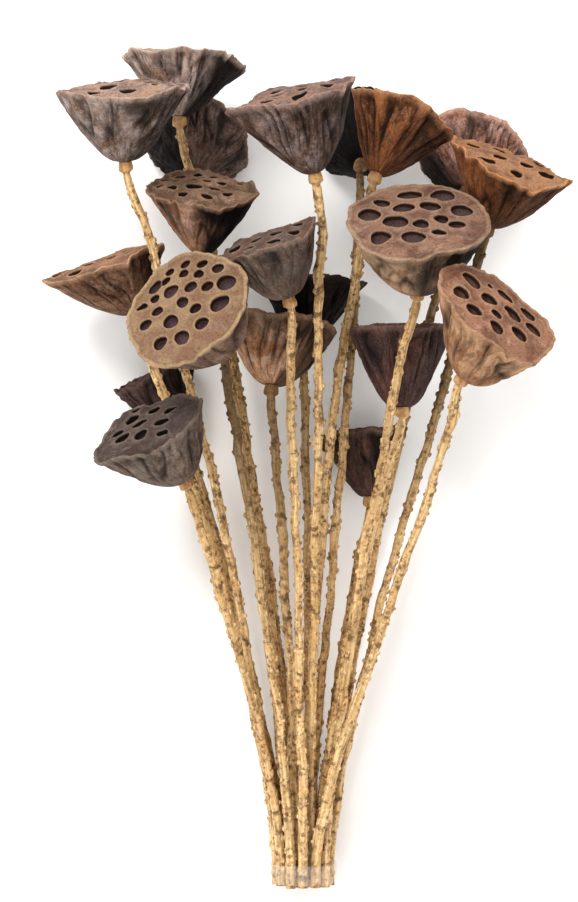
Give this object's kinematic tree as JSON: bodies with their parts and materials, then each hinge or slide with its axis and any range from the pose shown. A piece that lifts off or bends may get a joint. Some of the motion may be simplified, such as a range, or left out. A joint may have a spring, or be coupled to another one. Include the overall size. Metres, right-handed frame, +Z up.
{
  "type": "dried lotus pod bunch",
  "caption": "Bunch of dried lotus seed pods on long stems, tied at the foot with a clear band and lying on a flat surface.",
  "frame": {"origin": "on the surface the bunch lies on, under the middle of its bounding box", "axes": "+Y along the bunch from the tied foot to the seed heads, +Z up from the surface it lies on"},
  "size_m": [0.317, 0.514, 0.2201],
  "materials": {
    "head_grey_brown": "dry, matt, finely wrinkled plant skin",
    "head_black_brown": "dry, matt, finely wrinkled plant skin",
    "head_warm_brown": "dry, matt, finely wrinkled plant skin",
    "head_mauve_brown": "dry, matt, finely wrinkled plant skin",
    "head_tan": "dry, matt, finely wrinkled plant skin",
    "head_pink_tan": "dry, matt, finely wrinkled plant skin",
    "head_dark_plum": "dry, matt, finely wrinkled plant skin",
    "head_dark_grey": "dry, matt, finely wrinkled plant skin",
    "stem_tan": "dry, matt stem skin with small dark prickles",
    "band_clear": "clear, glossy film"
  },
  "bodies": {
    "root": {"pod_head_01": "head_grey_brown", "pod_head_02": "head_grey_brown", "pod_head_03": "head_black_brown", "pod_head_04": "head_warm_brown", "pod_head_05": "head_mauve_brown", "pod_head_06": "head_tan", "pod_head_07": "head_mauve_brown", "pod_head_08": "head_grey_brown", "pod_head_09": "head_black_brown", "pod_head_10": "head_warm_brown", "pod_head_11": "head_mauve_brown", "pod_head_12": "head_warm_brown", "pod_head_13": "head_pink_tan", "pod_head_14": "head_pink_tan", "pod_head_15": "head_dark_plum", "pod_head_16": "head_mauve_brown", "pod_head_17": "head_black_brown", "pod_head_18": "head_dark_plum", "pod_head_19": "head_dark_grey", "pod_head_20": "head_dark_plum", "stem_01": "stem_tan", "stem_02": "stem_tan", "stem_03": "stem_tan", "stem_04": "stem_tan", "stem_05": "stem_tan", "stem_06": "stem_tan", "stem_07": "stem_tan", "stem_08": "stem_tan", "stem_09": "stem_tan", "stem_10": "stem_tan", "stem_11": "stem_tan", "stem_12": "stem_tan", "stem_13": "stem_tan", "stem_14": "stem_tan", "stem_15": "stem_tan", "stem_16": "stem_tan", "stem_17": "stem_tan", "stem_18": "stem_tan", "stem_19": "stem_tan", "stem_20": "stem_tan", "tie_band": "band_clear"}
  },
  "joints": []
}
